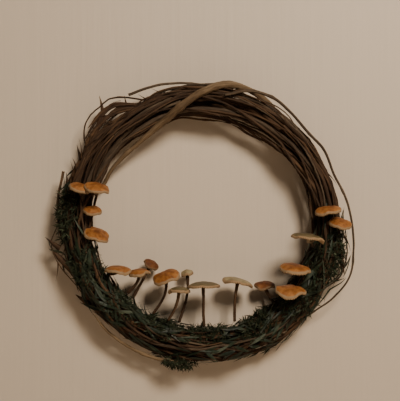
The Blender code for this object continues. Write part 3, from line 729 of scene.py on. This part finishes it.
def parted(tree, vector):
    """The X, Y and Z outputs of this vector."""
    parts = tree.nodes.new("ShaderNodeSeparateXYZ")
    feed(tree, parts, {"Vector": vector})
    return parts.outputs


def leaf_material(name, dark, mid, pale, tip, roughness):
    """Dull spotted leaves, each with its own tone from the attribute, and with a browner tip."""
    made, tree, shader = new_material(name)
    place = added(tree, "Attribute", "Vector", {}, attribute_name="leaf_place")
    _, height, own_tone = parted(tree, place)
    spots = added(tree, "TexCoord", "Object", {})
    noise = added(tree, "TexNoise", "Fac", {"Vector": spots, "Scale": 420.0, "Detail": 3.0})
    tone = added(tree, "Math", "Value", {0: noise, 1: 0.35, 2: own_tone}, operation="MULTIPLY_ADD")
    # The pale end of this ramp is painted sheen on the leaves whose tone reaches it.
    colours = colour_ramp(tree, tone, (0.15, dark), (0.70, mid), (1.0, pale))
    near_tip = added(tree, "MapRange", "Result", {"Value": height, "From Min": 0.55, "To Max": 0.75})
    tipped = {"Factor": near_tip, "A": colours, "B": (*tip, 1)}
    browned = added(tree, "Mix", "Result", tipped, data_type="RGBA")
    bump = added(tree, "Bump", "Normal", {"Height": noise, "Strength": 0.5, "Distance": 0.0004})
    feed(tree, shader, {"Base Color": browned, "Roughness": roughness, "Normal": bump})
    feed(tree, shader, {"Specular IOR Level": 0.3})
    return made


# Each has a dark, a middle and a pale green, and a browner one for its tips. The pale green is painted
# sheen.
moss_greens = (0.006, 0.010, 0.004), (0.020, 0.030, 0.013), (0.075, 0.095, 0.055), (0.040, 0.034, 0.014)
blade_greens = (0.006, 0.012, 0.006), (0.018, 0.030, 0.016), (0.080, 0.098, 0.070), (0.030, 0.026, 0.012)
moss_green = leaf_material("moss_green", *moss_greens, 0.8)
blade_green = leaf_material("blade_green", *blade_greens, 0.5)


def pad_samples(node, count, rng):
    """(points, outward directions) spread over a CAD pad's outer side."""
    mesh = merged_copy(node)
    bmesh.ops.triangulate(mesh, faces=mesh.faces)
    corners = np.array([[v.co for v in f.verts] for f in mesh.faces])
    normals = np.array([f.normal for f in mesh.faces])
    mesh.free()
    centres = corners.mean(axis=1)
    angle, _, _ = ring_place(centres)
    outwards = unit(centres - ring_point(angle, bundle_middle[skin_row(angle)], 0 * angle))
    first = corners[:, 0]
    to_second, to_third = corners[:, 1] - first, corners[:, 2] - first
    area = np.linalg.norm(np.cross(to_second, to_third), axis=1)
    area *= (normals * outwards).sum(axis=1) > 0.35
    pick = rng.choice(len(area), count, p=area / area.sum())
    a, b = rng.random((2, count, 1))
    a, b = np.where(a + b > 1, 1 - a, a), np.where(a + b > 1, 1 - b, b)
    return first[pick] + a * to_second[pick] + b * to_third[pick], outwards[pick]


def tufts(name, points, outwards, rng, length, width):
    """Short curved moss leaves that stand on these points."""
    count = len(points)
    along = unit(np.cross(outwards, [0, 1, 0]) + 0.01)
    lean = rng.uniform(-1, 1, (count, 1)) * along + 0.7 * rng.standard_normal((count, 3))
    ahead = unit(0.8 * outwards + lean)
    side = unit(np.cross(ahead, rng.standard_normal((count, 3))))
    up = np.cross(side, ahead)
    reach = rng.uniform(*length, (count, 1, 1))
    t = leaf_heights[None, :, None]
    curl = rng.uniform(-0.5, 0.7, (count, 1, 1))
    spines = points[:, None] + reach * (t * ahead[:, None] + curl * t**2 * up[:, None])
    sides, ups = (np.repeat(direction[:, None], LEVELS, axis=1) for direction in (side, up))
    clump = 0.5 + 0.5 * np.sin(points @ [310, 170, 230]) * np.sin(points @ [-140, 260, 120])
    tones = np.clip(0.15 + 0.35 * clump + 0.22 * rng.standard_normal(count), 0, 1)
    return leaf_cluster(name, spines, sides, ups, rng.uniform(*width, count), MOSS_THICK, tones)


rng = np.random.default_rng(41)
for pad in sorted(name for name in frame["nodes"] if name.startswith("moss")):
    points, outwards = pad_samples(pad, MOSS_TUFTS, rng)
    patches = np.sin(points @ [400, 90, 260]) + np.sin(points @ [-210, 330, 350])
    kept = patches + rng.uniform(-0.6, 0.6, len(points)) > BARE_BELOW
    points, outwards = points[kept], outwards[kept]
    points = points - rng.uniform(*MOSS_ROOTS, (len(points), 1)) * outwards
    clump = tufts(f"{pad}_tufts", points, outwards, rng, SHORT_MOSS.get(pad, MOSS_LENGTH), MOSS_WIDTH)
    dressed(clump, moss_green, "moss", pad)

# Leaf blades: a cluster's name and how many are in it, the stretch of the ring and of the bundle's turn
# that they lie on, their size as a share of the common one, and how far the tips stand off.
BLADES = [
    ("left_edge_blades", 26, (160, 192), (-20, 40), 0.7, 0.006),
    ("left_blades", 60, (188, 222), (10, 150), 1.1, 0.003),
    ("lower_left_blades", 70, (214, 252), (60, 195), 1.0, 0.003),
    ("bottom_blades", 70, (248, 300), (30, 200), 0.8, 0.003),
    ("inner_left_blades", 60, (218, 262), (150, 205), 0.9, 0.009),
    ("inner_bottom_blades", 44, (262, 318), (150, 205), 0.7, 0.007),
    ("right_hanging_blades", 16, (330, 352), (-30, 20), 1.0, 0.011),
    ("bottom_outer_blades", 34, (252, 266), (-40, 40), 0.6, 0.006),
    ("bottom_right_outer_blades", 26, (290, 308), (-40, 30), 0.6, 0.005),
    ("lower_right_blades", 70, (296, 334), (20, 185), 1.0, 0.003),
    ("right_blades", 60, (328, 358), (-10, 150), 1.1, 0.005),
]
for name, count, stretch, turns, share, stand in BLADES:
    spines, sides, ups = np.zeros((3, count, LEVELS, 3))
    for n in range(count):
        length = share * rng.uniform(*BLADE_LENGTH)
        angle = rng.uniform(*stretch)
        turn = rng.uniform(*turns)
        heading = math.radians(rng.uniform(-45, 45) + 180 * (rng.random() < 0.5))
        along = np.degrees(length / RING_RADIUS) * math.cos(heading)
        across = np.degrees(length / BUNDLE_REACH) * math.sin(heading)
        angles = (angle + along * leaf_heights) % 360
        off = turn + across * leaf_heights
        lift = rng.uniform(0.0008, 0.0030) + stand * rng.uniform(0, 1.3) * leaf_heights**2
        spine = on_skin(angles, off, lift)
        t = np.linspace(0, 1, LEVELS)[:, None]
        spine = 0.5 * spine + 0.5 * ((1 - t) * spine[0] + t * spine[-1])
        out = unit(on_skin(angles, off, lift + 0.004) - on_skin(angles, off, lift))
        ahead = unit(np.gradient(spine, axis=0))
        side = unit(np.cross(ahead, out))
        roll = rng.uniform(-0.7, 0.7)
        up = np.cross(side, ahead)
        spines[n] = spine
        sides[n] = math.cos(roll) * side + math.sin(roll) * up
        ups[n] = math.cos(roll) * up - math.sin(roll) * side
    tones = np.clip(0.25 + 0.28 * rng.standard_normal(count), 0, 1)
    widths = rng.uniform(*BLADE_WIDTH, count)
    dressed(leaf_cluster(name, spines, sides, ups, widths, BLADE_THICK, tones), blade_green, "moss")


# ---------------------------------------------------------------- mushroom stems
# Thin dried twigs, bent by hand, thicker where they meet the cap. Each is pushed into the moss at its foot
# and glued into a hole in the cap's underside.
STEM_WIDEST = 0.0026  # more than a stem's thickness, less than the gap between its CAD cross-sections
STEM_STEP, STEM_SIDES = 0.0015, 10
STEM_SHARE = 1.2  # of the CAD stem's radius
NECK_PLACE, NECK_LENGTH, NECK_SWELL = 0.004, 0.005, 0.45  # where a stem thickens just under its cap

stem_brown = bark_material("stem_brown", (0.020, 0.010, 0.006), (0.060, 0.030, 0.014), (0.130, 0.075, 0.040))
stem_pale = bark_material("stem_pale", (0.110, 0.080, 0.050), (0.240, 0.185, 0.120), (0.380, 0.310, 0.220))
PALE_STEMS = {"stem_right_2"}
rng = np.random.default_rng(59)
for node in sorted(name for name in frame["nodes"] if name.startswith("stem")):
    middles, radii = tube_stations(node, STEM_WIDEST)
    cap_low, cap_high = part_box(node.replace("stem", "cap"))
    cap_middle = np.array((cap_low + cap_high) / 2)
    if np.linalg.norm(middles[0] - cap_middle) > np.linalg.norm(middles[-1] - cap_middle):
        middles, radii = middles[::-1], radii[::-1]
    neck = np.exp(-(((lengths_along(middles) - NECK_PLACE) / NECK_LENGTH) ** 2))
    radii = radii * (STEM_SHARE + NECK_SWELL * neck)
    stem = barked_vine(f"twig_{node}", middles, radii, rng, STEM_SIDES, STEM_STEP)
    dressed(stem, stem_pale if node in PALE_STEMS else stem_brown, "stem", node)


# ---------------------------------------------------------------- mushroom caps
# Dried bracket mushrooms, 13 to 34 mm across. Each has a matt orange skin over a pale body that shows as
# a wavy band along its lower rim, and pale gills that run out under it from the stem.
CAP_EDGES = 120  # round one cap: two for each gill
CAP_PROFILE = [  # (distance from the axis, height) from the underside's middle to the crown
    (0.10, 0.30), (0.22, 0.29), (0.42, 0.25), (0.62, 0.18), (0.80, 0.09), (0.93, 0.015), (0.985, 0.03),
    (1.0, 0.13), (0.995, 0.26), (0.97, 0.38), (0.90, 0.53), (0.79, 0.66), (0.65, 0.78), (0.48, 0.88),
    (0.30, 0.95), (0.13, 0.985),
]
LAST_UNDERNEATH = 6  # the profile's last point under the rim
GILL_RINGS = (1, 5)  # the profile's first and last gilled points
GILL_DEPTH = 0.10  # share of the cap's height
CAP_SEGMENTS = 12  # round one CAD cap
CAP_OVAL = 0.88  # front to back over side to side
RIM_RIPPLES = ((2, 1), (3, 0.8), (5, 0.6), (8, 0.3), (13, 0.2))  # waves round a rim, and their heights
RIM_INDENT, RIM_LOBES = 0.035, 0.02  # how far the outline wanders, as shares of the radius
CROWN_DIMPLES = 0.03  # share of the cap's height
FOLD_WIDTH = 0.55  # of a hanging fold, in radians
SKIN_SHARE = 0.62  # how strongly the skin covers a cap, before it stays back from the rim
BARE_FROM = 0.76  # the distance from the axis outside which the skin may stay back


def cap_shape():
    """(points, faces) of a round cap of radius 1 and height 1, its underside's rim at height 0."""
    bpy.ops.object.select_all(action="DESELECT")
    out, height = CAP_PROFILE[0]
    bpy.ops.mesh.primitive_circle_add(
        vertices=CAP_EDGES, radius=out, fill_type="TRIFAN", location=(0, 0, height)
    )
    bpy.ops.object.mode_set(mode="EDIT")
    bpy.ops.mesh.select_all(action="DESELECT")
    bpy.ops.mesh.select_mode(type="EDGE")
    bpy.ops.mesh.select_non_manifold()
    for (out, height), (next_out, next_height) in zip(CAP_PROFILE, CAP_PROFILE[1:]):
        bpy.ops.mesh.extrude_edges_move(TRANSFORM_OT_translate={"value": (0, 0, next_height - height)})
        share = next_out / out
        bpy.ops.transform.resize(value=(share, share, 1), center_override=(0, 0, next_height))
    bpy.ops.mesh.extrude_edges_move(TRANSFORM_OT_translate={"value": (0, 0, 1 - CAP_PROFILE[-1][1])})
    return finished_shape()


cap_points, cap_faces = cap_shape()
cap_x, cap_y, cap_z = cap_points.T
cap_out = np.hypot(cap_x, cap_y)
cap_angle = np.arctan2(cap_y, cap_x)
profile_out, profile_height = np.array(CAP_PROFILE).T
nearest = np.argmin((cap_out[:, None] - profile_out) ** 2 + (cap_z[:, None] - profile_height) ** 2, axis=1)
on_top = np.clip((cap_z + 0.02) / 0.25, 0, 1) * (nearest > LAST_UNDERNEATH)
gilled = (nearest >= GILL_RINGS[0]) & (nearest <= GILL_RINGS[1])
gill_row = np.round(cap_angle / (2 * math.pi / CAP_EDGES)).astype(int)


def cap_pose(node):
    """(origin, radius, height, axes) of a CAD cap: axes are its x, y and upward directions."""
    mesh = merged_copy(node)
    points = np.array([v.co for v in mesh.verts])
    hub = max(mesh.verts, key=lambda v: (len(v.link_edges) == CAP_SEGMENTS, v.co.z))
    apex = np.array(hub.co)
    mesh.free()
    rim = points[np.argsort(np.linalg.norm(points - apex, axis=1))[-2 * CAP_SEGMENTS :]]
    middle = rim.mean(axis=0)
    across, _, up = np.linalg.svd(rim - middle)[2]
    across = across * np.sign(across[0])
    up = up * np.sign((apex - middle) @ up)
    lowest = ((rim - middle) @ up).min()
    radius = np.abs((rim - middle) @ across).max()
    return middle + lowest * up, radius, (apex - middle) @ up - lowest, (across, np.cross(up, across), up)


# The rust flesh is the cream flesh darkened, as painted shade for caps that sit in shadow.
CREAM_FLESH, PAINTED_SHADE_RUST_FLESH, GILL_FURROW_PAINTED_SHADE = (0.37, 0.25, 0.14), (0.20, 0.12, 0.065), (0.17, 0.10, 0.05)


def cap_material(name, dark, mid, light, flesh):
    """Matt cap skin, mottled and darker in its middle, over pale flesh with shade painted into the furrows
    between its gills.
    """
    made, tree, shader = new_material(name)
    place = added(tree, "Attribute", "Vector", {}, attribute_name="cap_place")
    outwards, covered, gill = parted(tree, place)
    spots = added(tree, "TexCoord", "Object", {})
    speckle = {"Vector": spots, "Scale": 190.0, "Detail": 5.0, "Roughness": 0.6}
    mottle = added(tree, "TexNoise", "Fac", speckle)
    pores = added(tree, "TexNoise", "Fac", {"Vector": spots, "Scale": 1500.0, "Detail": 2.0})
    paler = added(tree, "MapRange", "Result", {"Value": outwards, "To Min": -0.10, "To Max": 0.10})
    tone = added(tree, "Math", "Value", {0: mottle, 1: paler}, operation="ADD")
    skin_colours = colour_ramp(tree, tone, (0.28, dark), (0.48, mid), (0.72, light))
    # The recessed rows between the gills take a darker colour: painted shade in the troughs.
    flesh_colours = colour_ramp(tree, gill, (0.3, GILL_FURROW_PAINTED_SHADE), (0.62, flesh))
    ragged = added(tree, "Math", "Value", {0: mottle, 1: 0.5, 2: covered}, operation="MULTIPLY_ADD")
    edge = added(tree, "MapRange", "Result", {"Value": ragged, "From Min": 0.34, "From Max": 0.56})
    layers = {"Factor": edge, "A": flesh_colours, "B": skin_colours}
    both = added(tree, "Mix", "Result", layers, data_type="RGBA")
    rough = added(tree, "MapRange", "Result", {"Value": mottle, "To Min": 0.50, "To Max": 0.80})
    fine = added(tree, "Math", "Value", {0: pores, 1: 0.35, 2: mottle}, operation="MULTIPLY_ADD")
    bump = added(tree, "Bump", "Normal", {"Height": fine, "Strength": 0.55, "Distance": 0.0005})
    feed(tree, shader, {"Base Color": both, "Roughness": rough, "Normal": bump})
    feed(tree, shader, {"Specular IOR Level": 0.22})
    return made


orange_skin = (0.115, 0.037, 0.008), (0.235, 0.083, 0.018), (0.38, 0.165, 0.045)
# The rust skin is the orange skin darkened, with shade painted in for caps that sit in shadow.
painted_shade_rust_skin = (0.055, 0.018, 0.006), (0.115, 0.036, 0.011), (0.19, 0.073, 0.022)
# The tan skin is the cream skin darkened, with shade painted in for caps that sit in shadow.
painted_shade_tan_skin = (0.060, 0.042, 0.018), (0.105, 0.078, 0.036), (0.175, 0.128, 0.064)
cream_skin = (0.17, 0.125, 0.060), (0.26, 0.200, 0.105), (0.36, 0.285, 0.160)
CAP_SKINS = {
    "cap_orange": cap_material("orange_cap", *orange_skin, CREAM_FLESH),
    "cap_rust": cap_material("rust_cap", *painted_shade_rust_skin, PAINTED_SHADE_RUST_FLESH),
    "cap_tan": cap_material("tan_cap", *painted_shade_tan_skin, CREAM_FLESH),
    "cap_cream": cap_material("cream_cap", *cream_skin, CREAM_FLESH),
}
# For each cap: how far the skin stays back from the rim, where round the rim that is widest (degrees, 180
# is to the left and 270 to the front), how wavy the rim is, and how deep a fold hangs, at which angle.
CAP_RIMS = {
    "cap_left_1": (0.05, 190, 0.10, (0.20, 200)),
    "cap_left_2": (0.02, 180, 0.10, (0.00, 0)),
    "cap_left_3": (0.06, 190, 0.08, (0.10, 190)),
    "cap_left_4": (0.10, 200, 0.12, (0.25, 215)),
    "cap_low_left_1": (0.14, 270, 0.16, (0.20, 280)),
    "cap_low_left_2": (0.08, 220, 0.14, (0.15, 200)),
    "cap_low_left_3": (0.00, 0, 0.10, (0.10, 60)),
    "cap_low_left_4": (0.14, 285, 0.16, (0.45, 225)),
    "cap_bottom_1": (0.10, 270, 0.14, (0.00, 0)),
    "cap_bottom_2": (0.06, 270, 0.14, (0.15, 0)),
    "cap_bottom_3": (0.05, 180, 0.10, (0.12, 180)),
    "cap_bottom_4": (0.12, 200, 0.16, (0.20, 180)),
    "cap_low_right_1": (0.02, 180, 0.16, (0.10, 0)),
    "cap_low_right_2": (0.16, 275, 0.18, (0.20, 250)),
    "cap_right_1": (0.20, 290, 0.14, (0.20, 250)),
    "cap_right_2": (0.08, 0, 0.16, (0.15, 180)),
    "cap_right_3": (0.06, 200, 0.12, (0.12, 190)),
    "cap_right_4": (0.08, 190, 0.12, (0.25, 330)),
}
SLOTS = {row["node"]: row["material_slot"] for row in frame["record"]["subparts"]}
rng = np.random.default_rng(83)
for node in sorted(CAP_RIMS):
    origin, radius, height, axes = cap_pose(node)
    bare, bare_angle, wave, (fold, fold_angle) = CAP_RIMS[node]
    phases = rng.uniform(0, 2 * math.pi, 6)
    ripple = sum(high * np.sin(k * cap_angle + phase) for (k, high), phase in zip(RIM_RIPPLES, phases))
    outline = 1 - RIM_INDENT * np.abs(ripple) - RIM_LOBES * np.sin(4 * cap_angle + phases[5])
    from_fold = np.angle(np.exp(1j * (cap_angle - math.radians(fold_angle))))
    hang = fold * np.exp(-((from_fold / FOLD_WIDTH) ** 2))
    z = cap_z + cap_out**3 * (wave * ripple - hang)
    z[gilled] += GILL_DEPTH * np.where(gill_row[gilled] % 2, 0.5, -0.5) * (0.4 + 0.6 * cap_out[gilled])
    z += CROWN_DIMPLES * np.sin(7 * cap_x + phases[0]) * np.sin(6 * cap_y + phases[1]) * on_top
    x, y = cap_x * outline * radius, cap_y * outline * radius * CAP_OVAL
    points = origin + x[:, None] * axes[0] + y[:, None] * axes[1] + (z * height)[:, None] * axes[2]
    facing = 0.5 + 0.5 * np.cos(cap_angle - math.radians(bare_angle))
    near_rim = np.clip((cap_out - BARE_FROM) / (1 - BARE_FROM), 0, 1)
    covered = SKIN_SHARE * on_top - 4.0 * bare * facing**2 * near_rim
    gills = 0.5 + 0.5 * np.where(gill_row % 2, -1, 1) * gilled
    places = np.stack([cap_out, covered, gills], axis=-1)
    cap = smoothed(mesh_object(f"skinned_{node}", points, cap_faces, "cap_place", places))
    dressed(cap, CAP_SKINS[SLOTS[node]], SLOTS[node], node)
